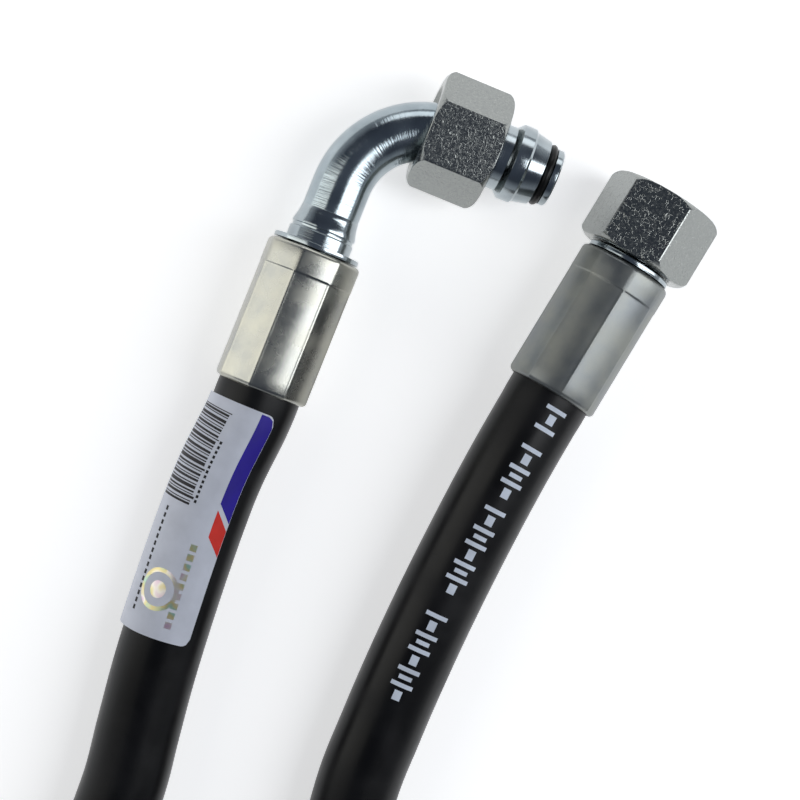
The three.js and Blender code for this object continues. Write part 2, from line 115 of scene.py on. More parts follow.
MOUTH_TO_CORNER = (CORNER.y - ELBOW_MOUTH.y) / MM

# The hose between its ferrules: x and y from the elbow's corner, and the height under it.
HOSE_POINTS = [
    (0, -84.5, 3.5), (-1.2, -100, 2.8), (-0.9, -117, 1.9), (1.4, -151, 0.5),
    (3.4, -168, 0.2), (5.4, -185, 0.2), (3.8, -220.5, 0.2), (-10, -253, 0.2),
    (-30.5, -282, 0.2), (-41, -316, 0.2), (-38, -351.5, 0.2), (-22, -383, 0.2),
    (4.5, -407, 0.2), (37.5, -419.5, 0.2), (72.5, -419, 0.2), (105.5, -405.5, 0.2),
    (131, -381, 0.2), (146, -348.5, 0.2), (148, -313, 0.2), (136.5, -279.5, 0.2),
    (114, -252.5, 0.2), (86.5, -229.5, 0.2), (68, -199.5, 0.2), (61.2, -164.7, 0.2),
    (60.9, -145.7, 0.7), (61.3, -126.8, 1.8), (62.3, -108, 2.8), (63.8, -89.5, 3.8),
    (65.8, -71, 4.4),
]

# ---- the hose's route ----


def route_points():
    """The points of the hose's centre line, from end to end, in metres."""
    inside = [STRAIGHT_MOUTH + STRAIGHT * HOSE_INSERTION * MM * share for share in (0, 0.5, 1)]
    outside = [ELBOW_MOUTH + Vector((0, HOSE_INSERTION * MM * share, 0)) for share in (1, 0.5, 0)]
    between = [
        Vector((CORNER.x + x * MM, CORNER.y + y * MM, (HOSE_RADIUS + under) * MM))
        for x, y, under in HOSE_POINTS
    ]
    return outside + between + inside


def smooth_route(points, steps=40):
    """A centripetal Catmull-Rom curve through the points, as closely spaced points."""
    ends = [2 * points[0] - points[1]] + points + [2 * points[-1] - points[-2]]
    line = []
    for a, b, c, d in zip(ends, ends[1:], ends[2:], ends[3:]):
        ab, bc, cd = ((q - p).length ** 0.5 for p, q in ((a, b), (b, c), (c, d)))
        start = ((b - a) / ab - (c - a) / (ab + bc) + (c - b) / bc) * bc
        end = ((c - b) / bc - (d - b) / (bc + cd) + (d - c) / cd) * bc
        for i in range(steps):
            t = i / steps
            line.append(
                b + start * t
                + (3 * (c - b) - 2 * start - end) * t**2
                + (start + end - 2 * (c - b)) * t**3
            )
    return line + [points[-1].copy()]


def along(line, spacing):
    """The same line with its points about this far apart, evenly."""
    reach = [0.0]
    for a, b in zip(line, line[1:]):
        reach.append(reach[-1] + (b - a).length)
    count = round(reach[-1] / spacing)
    even, k = [], 0
    for i in range(count + 1):
        want = reach[-1] * i / count
        while k < len(line) - 2 and reach[k + 1] < want:
            k += 1
        even.append(line[k].lerp(line[k + 1], (want - reach[k]) / (reach[k + 1] - reach[k])))
    return even, reach[-1]


ROUTE_SPACING = 1.0 * MM
ROUTE, HOSE_LENGTH = along(smooth_route(route_points()), ROUTE_SPACING)


def on_hose(distance, angle, radius):
    """A point around the hose: distance along it in metres, angle from the top, radius in mm.

    The angle grows towards the right of someone who looks along the hose from the elbow.
    """
    place = min(max(distance / HOSE_LENGTH * (len(ROUTE) - 1), 0), len(ROUTE) - 1)
    i = min(int(place), len(ROUTE) - 2)
    centre = ROUTE[i].lerp(ROUTE[i + 1], place - i)
    ahead = (ROUTE[min(i + 3, len(ROUTE) - 1)] - ROUTE[max(i - 2, 0)]).normalized()
    right = ahead.cross(UP).normalized()
    top = right.cross(ahead)
    return centre + (top * math.cos(angle) + right * math.sin(angle)) * radius * MM


# ---- modelling ----


def lying(axis, point):
    """The matrix of a piece made along +Z, laid along axis, with its +X up."""
    side = axis.cross(UP)
    place = Matrix((UP, side, axis)).transposed().to_4x4()
    place.translation = point
    return place


ELBOW_LEG = lying(Vector((0, 1, 0)), ELBOW_MOUTH)
ELBOW_OUTLET = lying(OUTLET, CORNER)
STRAIGHT_END = lying(STRAIGHT, STRAIGHT_MOUTH)


def start_edit():
    """Opens the active mesh with all of it selected."""
    bpy.ops.object.mode_set(mode="EDIT")
    bpy.ops.mesh.select_all(action="SELECT")


def end_edit():
    """Closes the mesh again."""
    bpy.ops.object.mode_set(mode="OBJECT")


def named(name):
    """Names the object that was just added."""
    piece = bpy.context.object
    piece.name = piece.data.name = name
    return piece


def pick(piece):
    """Selects one piece alone."""
    bpy.ops.object.select_all(action="DESELECT")
    piece.select_set(True)
    bpy.context.view_layer.objects.active = piece


def apply_modifier(piece, kind, **settings):
    """Adds a modifier with its settings and applies it."""
    pick(piece)
    modifier = piece.modifiers.new(kind.title(), kind)
    for key, value in settings.items():
        setattr(modifier, key, value)
    bpy.ops.object.modifier_apply(modifier=modifier.name)


def turned(name, outline, steps=96):
    """Spins an outline of (radius, height) points in millimetres about +Z."""
    bpy.ops.object.select_all(action="DESELECT")
    bpy.ops.mesh.primitive_plane_add(size=MM)
    piece = named(name)
    start_edit()
    bpy.ops.mesh.merge(type="CENTER")
    points = [Vector((radius * MM, 0, height * MM)) for radius, height in outline]
    if outline[0][0] > 0:
        points.append(points[0])
    bpy.ops.transform.translate(value=points[0])
    for last, point in zip(points, points[1:]):
        bpy.ops.mesh.extrude_vertices_move(TRANSFORM_OT_translate={"value": point - last})
    bpy.ops.mesh.select_all(action="SELECT")
    bpy.ops.mesh.spin(steps=steps, angle=2 * math.pi, center=(0, 0, 0), axis=(0, 0, 1))
    end_edit()
    close_seams(piece)
    return piece


def wrapped(name, columns, rows, place_of):
    """A flat grid whose u and v, from 0 to 1, are laid where place_of says."""
    bpy.ops.object.select_all(action="DESELECT")
    bpy.ops.mesh.primitive_grid_add(
        x_subdivisions=columns, y_subdivisions=rows, size=1, calc_uvs=True,
    )
    piece = named(name)
    piece.data.uv_layers[0].name = "Along"
    for vertex in piece.data.vertices:
        vertex.co = place_of(vertex.co.x + 0.5, vertex.co.y + 0.5)
    return piece


def scale_uv(piece, across, length):
    """Turns the 0 to 1 coordinates of a wrapped grid into millimetres."""
    for loop in piece.data.uv_layers["Along"].data:
        loop.uv = (loop.uv[0] * across, loop.uv[1] * length)


def close_seams(piece):
    """Merges the points that meet and turns the faces out."""
    pick(piece)
    start_edit()
    bpy.ops.mesh.remove_doubles(threshold=1e-6)
    bpy.ops.mesh.normals_make_consistent(inside=False)
    end_edit()


def shade(piece, angle=40):
    """Shades smooth, except over edges that are sharper than the angle in degrees."""
    pick(piece)
    bpy.ops.object.shade_smooth_by_angle(angle=math.radians(angle))


def tube_wall(piece, wall):
    """Makes a wrapped grid a closed tube whose wall, in millimetres, goes inwards."""
    close_seams(piece)
    apply_modifier(piece, "SOLIDIFY", thickness=wall * MM, offset=-1.0)
    shade(piece)


def film_wall(piece, thickness=0.02):
    """Gives a wrapped grid the thickness of a film, in millimetres, outwards."""
    close_seams(piece)
    apply_modifier(piece, "SOLIDIFY", thickness=thickness * MM, offset=1.0)


def soften(piece, width, angle=28, segments=3):
    """Rounds the sharp edges by width millimetres and shades the rest smooth."""
    apply_modifier(
        piece, "BEVEL", width=width * MM, segments=segments, limit_method="ANGLE",
        angle_limit=math.radians(angle), use_clamp_overlap=True,
    )
    shade(piece)


def combine(piece, other, operation):
    """A boolean of two pieces, which uses the other one up."""
    apply_modifier(piece, "BOOLEAN", operation=operation, object=other, solver="EXACT")
    bpy.data.objects.remove(other)


def joined(name, parts):
    """Small parts made one piece."""
    bpy.ops.object.select_all(action="DESELECT")
    for part in parts:
        part.select_set(True)
    bpy.context.view_layer.objects.active = parts[0]
    bpy.ops.object.join()
    return named(name)


def finish_piece(piece, place, body, slot, material, *nodes):
    """Lays a piece in its place, gives it its material and hands it to the frame."""
    if place is not None:
        piece.data.transform(place)
    piece.data.materials.clear()
    piece.data.materials.append(material)
    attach(piece, body)
    if nodes:
        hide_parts(*nodes)


# ---- materials ----


def colour(value):
    """Linear RGBA of an sRGB hex colour. A colour from the settings is linear already."""
    if not isinstance(value, str):
        return list(value)
    parts = [int(value[i:i + 2], 16) / 255 for i in (1, 3, 5)]
    return [p / 12.92 if p <= 0.04045 else ((p + 0.055) / 1.055) ** 2.4 for p in parts] + [1.0]


def toned(value, share):
    """A colour with its light multiplied by a share."""
    return [part * share for part in colour(value)[:3]] + [1.0]


def connect(tree, node, inputs):
    """Gives a node its inputs, each a value or another node's output."""
    for key, value in inputs.items():
        if isinstance(value, bpy.types.NodeSocket):
            tree.links.new(value, node.inputs[key])
        else:
            node.inputs[key].default_value = value


def add(tree, kind, inputs=None, stops=(), **settings):
    """Adds a node with its inputs and settings. Stops are pairs of place and colour or grey."""
    node = tree.nodes.new(kind)
    for key, value in settings.items():
        setattr(node, key, value)
    connect(tree, node, inputs or {})
    for i, (position, value) in enumerate(stops):
        point = node.color_ramp.elements[i] if i < 2 else node.color_ramp.elements.new(position)
        point.position = position
        point.color = [value] * 3 + [1.0] if isinstance(value, float) else colour(value)
    return node


def new_material(name):
    """A material with its node tree and its shader."""
    material = bpy.data.materials.new(name)
    material.use_nodes = True
    tree = material.node_tree
    return material, tree, tree.nodes["Principled BSDF"]


def zinc_plate(name, tones, roughness, dent_mm, dent, nicks=0.0, ripple_mm=0.0, axis=None,
               cloud_mm=7.0, frosting=0.06):
    """Steel plated with bright zinc and passivated.

    The eye sees a metal with soft cloudy tone and a dimpled skin whose small slopes
    catch the lamps as sparkle. Nuts that have knocked together in a bin also have short
    nicks, bent tube has fine marks across it, and turned pieces have rings round their axis.
    The dimples and the clouds have their sizes in millimetres, and the clouds are duller
    by the frosting.
    """
    material, tree, shader = new_material(name)
    place = add(tree, "ShaderNodeTexCoord").outputs["Object"]
    cloud = add(tree, "ShaderNodeTexNoise", {
        "Vector": place, "Scale": 1 / (cloud_mm * MM), "Detail": 5.0,
    })
    tone = add(tree, "ShaderNodeValToRGB", {"Fac": cloud.outputs["Fac"]}, [
        (0.32, tones[0]), (0.68, tones[1]),
    ]).outputs["Color"]
    dents = add(tree, "ShaderNodeTexNoise", {
        "Vector": place, "Scale": 1 / (dent_mm * MM), "Detail": 5.0, "Roughness": 0.65,
    })
    height = add(tree, "ShaderNodeMath", {0: dents.outputs["Fac"], 1: dent}, operation="MULTIPLY")
    height = height.outputs[0]
    extra = []
    if nicks:
        mask = nick_mask(tree, place)
        tone = add(tree, "ShaderNodeMixRGB", {
            "Fac": mask, "Color1": tone, "Color2": colour(tones[2]),
        }).outputs["Color"]
        extra.append((mask, nicks))
    if ripple_mm:
        extra.append((ripples(tree, ripple_mm), 2.6))
    if axis:
        extra.append((rings(tree, place, axis, 0.35), 0.8))
    for pattern, weight in extra:
        height = add(tree, "ShaderNodeMath", {0: pattern, 1: weight, 2: height},
                     operation="MULTIPLY_ADD").outputs[0]
    frost = add(tree, "ShaderNodeMapRange", {
        "Value": cloud.outputs["Fac"], "From Min": 0.3, "From Max": 0.7,
        "To Min": roughness - 0.05, "To Max": roughness + frosting,
    })
    bump = add(tree, "ShaderNodeBump", {"Strength": 0.5, "Distance": 0.05 * MM, "Height": height})
    connect(tree, shader, {
        "Base Color": tone, "Roughness": frost.outputs["Result"],
        "Normal": bump.outputs["Normal"], "Metallic": 1.0,
    })
    return material


def rings(tree, place, axis, spacing):
    """Turning marks round an axis, a few times coarser than real ones so that they show."""
    along_axis = add(tree, "ShaderNodeVectorMath", {0: place, 1: axis}, operation="DOT_PRODUCT")
    marks = add(tree, "ShaderNodeTexNoise", {
        "W": along_axis.outputs["Value"], "Scale": 1 / (spacing * MM), "Detail": 3.0,
    }, noise_dimensions="1D")
    return marks.outputs["Fac"]


def nick_mask(tree, place):
    """Short, thin, scattered nicks: parts of the borders between bent cells 1 mm wide."""
    bent = add(tree, "ShaderNodeTexNoise", {"Vector": place, "Scale": 1 / (2 * MM), "Detail": 2.0})
    shifted = add(tree, "ShaderNodeMixRGB", {
        "Fac": 1.8 * MM, "Color1": place, "Color2": bent.outputs["Color"],
    }, blend_type="ADD")
    lines = add(tree, "ShaderNodeTexVoronoi", {
        "Vector": shifted.outputs["Color"], "Scale": 1 / (1.0 * MM),
    }, feature="DISTANCE_TO_EDGE")
    patchy = add(tree, "ShaderNodeTexNoise", {
        "Vector": place, "Scale": 1 / (1.1 * MM), "Detail": 4.0,
    })
    line_mask = add(tree, "ShaderNodeValToRGB", {"Fac": lines.outputs["Distance"]}, [
        (0.0, 1.0), (0.035, 0.0),
    ])
    patch_mask = add(tree, "ShaderNodeValToRGB", {"Fac": patchy.outputs["Fac"]}, [
        (0.48, 0.0), (0.56, 1.0),
    ])
    return add(tree, "ShaderNodeMath", {
        0: line_mask.outputs["Color"], 1: patch_mask.outputs["Color"],
    }, operation="MULTIPLY").outputs[0]


def ripples(tree, spacing):
    """Fine marks across a tube, about 12 mm long, as the bending tool leaves them."""
    uv = add(tree, "ShaderNodeUVMap", uv_map="Along").outputs["UV"]
    across = add(tree, "ShaderNodeMapping", {"Vector": uv, "Scale": (0.08, 1 / spacing, 1.0)})
    marks = add(tree, "ShaderNodeTexNoise", {
        "Vector": across.outputs["Vector"], "Scale": 1.0, "Detail": 3.0,
    })
    return marks.outputs["Fac"]


def moulded_rubber(name, tone, worn, roughness, length_scale=None):
    """Synthetic rubber, extruded or moulded: nearly black, with a soft sheen.

    The eye sees a faint lengthwise drag from the die, dusty scuffs that are paler and
    duller than the rest, and a very fine tooth that breaks the highlight up.
    """
    material, tree, shader = new_material(name)
    if length_scale:
        uv = add(tree, "ShaderNodeUVMap", uv_map="Along").outputs["UV"]
        place = add(tree, "ShaderNodeMapping", {"Vector": uv, "Scale": length_scale}).outputs["Vector"]
    else:
        place = add(tree, "ShaderNodeTexCoord").outputs["Object"]
        place = add(tree, "ShaderNodeMapping", {"Vector": place, "Scale": (1000, 1000, 1000)})
        place = place.outputs["Vector"]
    drag = add(tree, "ShaderNodeTexNoise", {"Vector": place, "Scale": 1.0, "Detail": 4.0})
    spot = add(tree, "ShaderNodeTexCoord").outputs["Object"]
    scuff = add(tree, "ShaderNodeTexNoise", {"Vector": spot, "Scale": 1 / (14 * MM), "Detail": 8.0})
    tooth = add(tree, "ShaderNodeTexNoise", {"Vector": spot, "Scale": 1 / (0.35 * MM), "Detail": 3.0})
    mask = add(tree, "ShaderNodeValToRGB", {"Fac": scuff.outputs["Fac"]}, [
        (0.45, 0.0), (0.75, 1.0),
    ]).outputs["Color"]
    tint = add(tree, "ShaderNodeMixRGB", {
        "Fac": mask, "Color1": colour(tone), "Color2": colour(worn),
    })
    dull = add(tree, "ShaderNodeMapRange", {
        "Value": mask, "To Min": roughness - 0.03, "To Max": roughness + 0.12,
    })
    relief = add(tree, "ShaderNodeMath", {
        0: drag.outputs["Fac"], 1: 1.2, 2: tooth.outputs["Fac"],
    }, operation="MULTIPLY_ADD")
    bump = add(tree, "ShaderNodeBump", {
        "Strength": 0.25, "Distance": 0.03 * MM, "Height": relief.outputs[0],
    })
    connect(tree, shader, {
        "Base Color": tint.outputs["Color"], "Roughness": dull.outputs["Result"],
        "Normal": bump.outputs["Normal"], "Specular IOR Level": 0.24,
    })
    return material


def braided_wire(name):
    """Brass-coated steel wire, braided in crossing bands of parallel wires.

    It is inside the hose, so only its weave and its warm metal matter.
    """
    material, tree, shader = new_material(name)
    uv = add(tree, "ShaderNodeUVMap", uv_map="Along").outputs["UV"]
    bands = []
    for turn in (54.7, -54.7):  # the neutral braid angle, each way
        turned_uv = add(tree, "ShaderNodeMapping", {
            "Vector": uv, "Rotation": (0, 0, math.radians(turn)),
        })
        bands.append(add(tree, "ShaderNodeTexWave", {
            "Vector": turned_uv.outputs["Vector"], "Scale": 1.0, "Distortion": 0.2,
        }))
    check = add(tree, "ShaderNodeTexChecker", {"Vector": uv, "Scale": 0.4})
    weave = add(tree, "ShaderNodeMixRGB", {
        "Fac": check.outputs["Fac"], "Color1": bands[0].outputs["Color"],
        "Color2": bands[1].outputs["Color"],
    })
    # Darker where the weave is low and lighter on the wires' crowns: painted shade between the wires.
    tone = add(tree, "ShaderNodeValToRGB", {"Fac": weave.outputs["Color"]}, [
        (0.1, "#3a2f1c"), (0.8, "#b49a62"),
    ])
    bump = add(tree, "ShaderNodeBump", {
        "Strength": 0.8, "Distance": 0.2 * MM, "Height": weave.outputs["Color"],
    })
    connect(tree, shader, {
        "Base Color": tone.outputs["Color"], "Normal": bump.outputs["Normal"],
        "Metallic": 1.0, "Roughness": 0.38,
    })
    return material


def printed_film(name, tone, soiled, roughness):
    """Polyester label film or the ink on it: even, smooth and slightly wavy over the rubber.

    The eye sees a soft sheen with low waves where air is caught under the film, and a
    trace of handling dirt.
    """
    material, tree, shader = new_material(name)
    place = add(tree, "ShaderNodeTexCoord").outputs["Object"]
    dirt = add(tree, "ShaderNodeTexNoise", {"Vector": place, "Scale": 1 / (5 * MM), "Detail": 6.0})
    wave = add(tree, "ShaderNodeTexNoise", {"Vector": place, "Scale": 1 / (7 * MM), "Detail": 1.0})
    tint = add(tree, "ShaderNodeValToRGB", {"Fac": dirt.outputs["Fac"]}, [
        (0.35, tone), (0.8, soiled),
    ])
    bump = add(tree, "ShaderNodeBump", {
        "Strength": 0.3, "Distance": 0.25 * MM, "Height": wave.outputs["Fac"],
    })
    connect(tree, shader, {
        "Base Color": tint.outputs["Color"], "Normal": bump.outputs["Normal"],
        "Roughness": roughness, "Specular IOR Level": 0.3,
    })
    return material


def iridescent_foil(name):
    """Hot-stamped foil: a bright mirror skin whose tint drifts between rose, gold and green."""
    material, tree, shader = new_material(name)
    place = add(tree, "ShaderNodeTexCoord").outputs["Object"]
    drift = add(tree, "ShaderNodeTexNoise", {"Vector": place, "Scale": 1 / (4 * MM), "Detail": 1.0})
    tint = add(tree, "ShaderNodeValToRGB", {"Fac": drift.outputs["Fac"]}, [
        (0.30, "#e6c3dc"), (0.70, "#b9e2d2"), (0.45, "#f4efe6"), (0.58, "#eadb9e"),
    ])
    connect(tree, shader, {
        "Base Color": tint.outputs["Color"], "Metallic": 0.75, "Roughness": 0.32,
    })
    return material


LOOKS = {}


def look(name, make, *values, **settings):
    """A material, made the first time that a piece asks for it."""
    if name not in LOOKS:
        LOOKS[name] = make(name, *values, **settings)
    return LOOKS[name]


def ferrule_zinc():
    return look("zinc_ferrule", zinc_plate, ("#9fa09c", "#bab9ae"), 0.27, 0.6, 0.4)


# The elbow ferrule's zinc again, rougher, and with darker tones that are painted shade.
def dull_shaded_ferrule_zinc():
    return look("zinc_ferrule_dull", zinc_plate, ("#7f8385", "#92948f"), 0.42, 0.6, 0.5)


def nut_zinc():
    return look("zinc_nut", zinc_plate, ("#8b8e8d", "#9c9f9c", "#acafab"), 0.17, 0.30, 0.9,
                nicks=1.3, cloud_mm=0.6, frosting=0.13)


def bent_tube_zinc():
    return look("zinc_bent_tube", zinc_plate, ("#96a1a7", "#adb8bd"), 0.16, 0.9, 0.4,
                ripple_mm=0.45)


def turned_zinc(name, axis):
    return look(name, zinc_plate, ("#9aa3a8", "#b0b9bd"), 0.15, 1.2, 0.3, axis=list(axis))


# ---- settings that a user would change ----


def length_setting(name, description, default):
    """A length in metres that the panel offers."""
    return bpy.props.FloatProperty(
        name=name, description=description, default=default, min=0, subtype="DISTANCE",
        unit="LENGTH",
    )


def colour_setting(name, description, default):
    """A colour that the panel offers."""
    return bpy.props.FloatVectorProperty(
        name=name, description=description, default=colour(default), size=4, min=0, max=1,
        subtype="COLOR",
    )


class HoseSettings(bpy.types.PropertyGroup):
    """Size and colour of the hose's cover, its marks and its label."""

    cover: colour_setting("Cover", "Colour of the rubber cover", "#09090b")
    mark_height: length_setting("Mark height", "Height of the marks along the hose", 5.8 * MM)
    mark_ink: colour_setting("Mark ink", "Colour of the marks along the hose", "#d3dcea")
    label_start: length_setting("Label start", "From the elbow's ferrule to the label", 4.5 * MM)
    label_length: length_setting("Label length", "Length of the label along the hose", 62 * MM)
    film: colour_setting("Film", "Colour of the label's film", "#cfd3df")
    band: colour_setting("Band", "Colour of the band on the label", "#220c98")
    block: colour_setting("Block", "Colour of the block beside the band", "#dc2c20")


class StageSettings(bpy.types.PropertyGroup):
    """Camera and floor."""

    lens: bpy.props.FloatProperty(
        name="Lens", description="Focal length of the camera", default=102.2, min=1,
        unit="CAMERA",
    )
    floor: colour_setting("Floor", "Colour of the light table under the hose", "#f4f4f4")
    floor_glow: bpy.props.FloatProperty(
        name="Floor glow", description="How strongly the table is lit from below",
        default=0.60, min=0, max=1, subtype="FACTOR",
    )


# ---- stage ----

CAMERA_PLACE = Vector((-66.5, -35.6, 586.5)) * MM
CAMERA_TILT = math.radians(6.0)
CAMERA_ROLL = math.radians(21.83)
FLOOR_SIDE = 6
SOFT_BOXES = (
    # name, place and size in metres, watts, tint
    ("key_box", (0.61, 0.14, 0.67), (0.40, 0.95), 4.8, "#fbfdff"),
    ("left_box", (-0.88, -0.10, 0.46), (0.5, 1.2), 2.9, "#fffdf5"),
    ("back_box", (-0.1, 1.0, 0.40), (1.2, 0.4), 2.4, "#ffffff"),
)


class HOSE_OT_stage(bpy.types.Operator):
    """Camera above the fittings, a pale floor and soft boxes at the sides"""

    bl_idname = "hose.stage"
    bl_label = "Stage"

    def execute(self, context):
        settings = context.scene.stage_settings
        self.camera(context, settings.lens)
        self.floor(settings)
        self.room(context)
        for box in SOFT_BOXES:
            self.soft_box(*box)
        context.scene.view_settings.view_transform = "Standard"
        return {"FINISHED"}

    def camera(self, context, lens):
        """Above the fittings, tilted a little and rolled."""
        bpy.ops.object.camera_add(location=CAMERA_PLACE)
        camera = context.object
        tilt = Matrix.Rotation(-CAMERA_TILT, 3, "Y")
        roll = Matrix.Rotation(CAMERA_ROLL, 3, "Z")
        camera.rotation_euler = (tilt @ roll).to_euler()
        camera.data.lens = lens
        camera.data.clip_end = 10
        context.scene.camera = camera

    def floor(self, settings):
        """A light table: opal acrylic, lit from below, with the faintest clouds in its white."""
        bpy.ops.mesh.primitive_plane_add(size=FLOOR_SIDE, location=(0, 0, 0))
        floor = named("floor")
        material, tree, shader = new_material("opal_acrylic")
        place = add(tree, "ShaderNodeTexCoord").outputs["Object"]
        cloud = add(tree, "ShaderNodeTexNoise", {
            "Vector": place, "Scale": 1 / (150 * MM), "Detail": 2.0,
        })
        tint = add(tree, "ShaderNodeMixRGB", {
            "Fac": cloud.outputs["Fac"], "Color1": colour(settings.floor),
            "Color2": toned(settings.floor, 0.97),
        })
        connect(tree, shader, {
            "Base Color": tint.outputs["Color"], "Roughness": 0.9,
            "Emission Color": colour(settings.floor), "Emission Strength": settings.floor_glow,
        })
        floor.data.materials.append(material)

    def room(self, context):
        """A studio with pale walls and a dark ceiling, which the zinc reflects."""
        world = bpy.data.worlds.new("studio")
        world.use_nodes = True
        tree = world.node_tree
        background = tree.nodes["Background"]
        direction = add(tree, "ShaderNodeTexCoord").outputs["Generated"]
        height = add(tree, "ShaderNodeSeparateXYZ", {"Vector": direction}).outputs["Z"]
        walls = add(tree, "ShaderNodeValToRGB", {"Fac": height}, [
            (0.0, "#c4c8cc"), (0.25, "#a4a9b0"), (0.55, "#4c525d"), (1.0, "#585f6c"),
        ])
        connect(tree, background, {"Color": walls.outputs["Color"], "Strength": 0.8})
        context.scene.world = world

    def soft_box(self, name, place, size, power, tint):
        """A rectangular lamp that faces the middle of the floor."""
        bpy.ops.object.light_add(type="AREA", location=place)
        light = bpy.context.object
        light.name = name
        light.data.shape = "RECTANGLE"
        light.data.size, light.data.size_y = size
        light.data.energy = power
        light.data.color = colour(tint)[:3]
        light.rotation_euler = (-Vector(place)).to_track_quat("-Z", "Y").to_euler()


# ---- the hose ----


def hose_layer(name, outer, wall, columns, spacing, shape=None):
    """One layer of the hose as a closed tube with a wall."""
    rows = round(HOSE_LENGTH / (spacing * MM))

    def place(u, v):
        radius = outer + (shape(v * HOSE_LENGTH / MM) if shape else 0)
        return on_hose(v * HOSE_LENGTH, 2 * math.pi * u, radius)

    piece = wrapped(name, columns, rows, place)
    scale_uv(piece, 2 * math.pi * outer, HOSE_LENGTH / MM)
    tube_wall(piece, wall)
    return piece


def cover_swell(distance):
    """The cover bulges a little where the ferrules squeeze it, and is never quite even."""
    length = HOSE_LENGTH / MM
    from_mouth = min(distance, length - distance) - HOSE_INSERTION
    bulge, bulge_place, bulge_half_width = 0.14, 2.2, 1.6
    squeezed = bulge * math.exp(-((from_mouth - bulge_place) / bulge_half_width) ** 2)
    return squeezed + 0.04 * noise.noise(Vector((distance / 30, 0.3, 0.7))) - 0.02


class HOSE_OT_hose(bpy.types.Operator):
    """Rubber cover, two wire braids, the rubber between them and the inner tube"""

    bl_idname = "hose.hose"
    bl_label = "Hose"

    def execute(self, context):
        tone = context.scene.hose_settings.cover
        rubber = look("rubber_cover", moulded_rubber, tone, toned(tone, 2.3), 0.34,
                      length_scale=(1.2, 0.02, 1.0))
        lining = look("rubber_lining", moulded_rubber, "#0b0b0b", "#151515", 0.55,
                      length_scale=(1.0, 0.1, 1.0))
        friction = look("rubber_friction", moulded_rubber, "#1b1916", "#24211c", 0.7,
                        length_scale=(1.0, 0.4, 1.0))
        wire = look("braided_wire", braided_wire)
        cover = hose_layer("rubber_cover", HOSE_RADIUS, 1.2, 72, 2.5, cover_swell)
        finish_piece(cover, None, ROOT, "cover_rubber", rubber, "hose_cover")
        inner = [
            # name, outer radius, wall, slot, material, node
            ("outer_braid", 9.4, 0.5, "braid_wire", wire, "hose_outer_braid"),
            ("friction_layer", 8.8, 0.25, "ply_rubber", friction, "hose_interply"),
            ("inner_braid", 8.45, 0.4, "braid_wire", wire, "hose_inner_braid"),
            ("inner_tube", 7.95, 1.6, "tube_rubber", lining, "hose_inner_tube"),
        ]
        for name, outer, wall, slot, material, node in inner:
            layer = hose_layer(name, outer, wall, 36, 6)
            finish_piece(layer, None, ROOT, slot, material, node)
        return {"FINISHED"}


class HOSE_OT_cord(bpy.types.Operator):
    """Does nothing: the hose's length, diameter and ends, and what rides on it, are not stated here"""

    bl_idname = "hose.cord"
    bl_label = "Hose as a cord"

    def execute(self, context):
        return {"FINISHED"}


# ---- print and label ----

INK_LIFT = 0.10  # how far the marks stand off the cover, so that its bulges don't hide them
MARK_GROUPS = ((3, 10), (14.5, 27), (32, 55), (62, 84))  # from and to, from the ferrule
MARK_SHAPES = ((1.1, 1.0), (2.6, 0.36), (1.1, 1.0), (1.1, 0.6))  # length, share of the height
MARK_GAP = 0.95
LABEL_ANGLES = (math.radians(-34), math.radians(112))
LABEL_CORNER = 2.2
FILM_LIFT = 0.08
FILM_THICKNESS = 0.12
BAR_WIDTHS = (0.25, 0.55, 0.25, 0.8, 0.4, 0.25, 0.6)
BAR_GAPS = (0.35, 0.3, 0.55, 0.3, 0.45)


def corner_inset(u, width, radii):
    """How far a rounded corner cuts into an end of a patch, at a share u of its width."""
    inset = 0.0
    for radius, aside in ((radii[0], u * width), (radii[1], (1 - u) * width)):
        if aside < radius:
            inset += radius - math.sqrt(radius**2 - (radius - aside) ** 2)
    return inset


def patch(name, starts, ends, angles, radius, thickness=0.02, round_start=(0, 0),
          round_end=(0, 0), lift=None):
    """A thin patch on the hose, in millimetres along it and in radians round it.

    starts and ends each hold two places, at the first and at the last angle, and
    round_start and round_end the radii of the corners there.
    """
    low, high = angles
    width = abs(high - low) * HOSE_RADIUS
    columns = max(2, round(width / 0.7))
    rows = max(1, round(abs(ends[0] - starts[0]) / 2.0))

    def place(u, v):
        start = starts[0] + (starts[1] - starts[0]) * u + corner_inset(u, width, round_start)
        end = ends[0] + (ends[1] - ends[0]) * u - corner_inset(u, width, round_end)
        distance = start + (end - start) * v
        angle = low + (high - low) * u
        raised = lift(distance, angle) if lift else 0
        return on_hose(distance * MM, angle, radius + raised)

    piece = wrapped(name, columns, rows, place)
    film_wall(piece, thickness)
    shade(piece)
    return piece


def flat_ring(name, centre, angle, inner, outer, radius, lift=None):
    """A ring lying on the hose, its centre and radii in millimetres."""

    def place(u, v):
        around = 2 * math.pi * u
        reach = inner + (outer - inner) * v
        distance = centre + reach * math.cos(around)
        turn = angle + reach * math.sin(around) / HOSE_RADIUS
        return on_hose(distance * MM, turn, radius + (lift(distance, turn) if lift else 0))

    piece = wrapped(name, 48, max(1, round((outer - inner) / 0.4)), place)
    film_wall(piece)
    return piece


